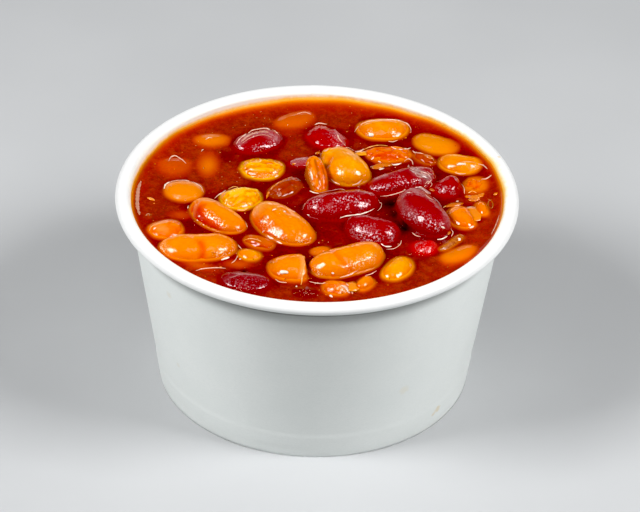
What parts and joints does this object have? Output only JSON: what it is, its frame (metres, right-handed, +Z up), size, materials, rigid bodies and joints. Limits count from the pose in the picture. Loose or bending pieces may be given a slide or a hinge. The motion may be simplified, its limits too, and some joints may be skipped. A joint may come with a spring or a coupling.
{
  "type": "bowl of baked beans",
  "caption": "Round white paper tub with a rolled rim, filled to the brim with white beans and kidney beans in red tomato sauce.",
  "frame": {"origin": "middle of the foot ring, on the surface that the tub stands on", "axes": "+Z up; -Y is the front; the tub is round about Z, so X and Y are set by the lie of the beans"},
  "size_m": [0.098, 0.098, 0.054],
  "materials": {
    "paper": "coated white board, smooth, slightly glossy on the rolled rim",
    "paper_base": "uncoated white board",
    "sauce": "wet red tomato sauce, translucent, high gloss",
    "white_bean": "cooked bean stained orange, wet",
    "kidney_bean": "cooked dark red bean, wet, pebbled skin",
    "bean_skin": "thin wet bean skin"
  },
  "bodies": {
    "root": {"bowl_wall": "paper", "bowl_base": "paper_base", "sauce": "sauce", "white_bean_01": "white_bean", "white_bean_02": "white_bean", "white_bean_03": "white_bean", "white_bean_04": "white_bean", "white_bean_05": "white_bean", "white_bean_06": "white_bean", "white_bean_07": "white_bean", "white_bean_08": "white_bean", "white_bean_09": "white_bean", "white_bean_10": "white_bean", "white_bean_11": "white_bean", "white_bean_12": "white_bean", "white_bean_13": "white_bean", "white_bean_14": "white_bean", "white_bean_15": "white_bean", "white_bean_16": "white_bean", "white_bean_17": "white_bean", "white_bean_18": "white_bean", "white_bean_19": "white_bean", "white_bean_20": "white_bean", "white_bean_21": "white_bean", "white_bean_22": "white_bean", "white_bean_23": "white_bean", "white_bean_24": "white_bean", "white_bean_25": "white_bean", "white_bean_26": "white_bean", "white_bean_27": "white_bean", "white_bean_28": "white_bean", "white_bean_29": "white_bean", "white_bean_30": "white_bean", "kidney_bean_01": "kidney_bean", "kidney_bean_02": "kidney_bean", "kidney_bean_03": "kidney_bean", "kidney_bean_04": "kidney_bean", "kidney_bean_05": "kidney_bean", "kidney_bean_06": "kidney_bean", "kidney_bean_07": "kidney_bean", "kidney_bean_08": "kidney_bean", "kidney_bean_09": "kidney_bean", "kidney_bean_10": "kidney_bean", "kidney_bean_11": "kidney_bean", "skin_strip_01": "bean_skin"}
  },
  "joints": []
}
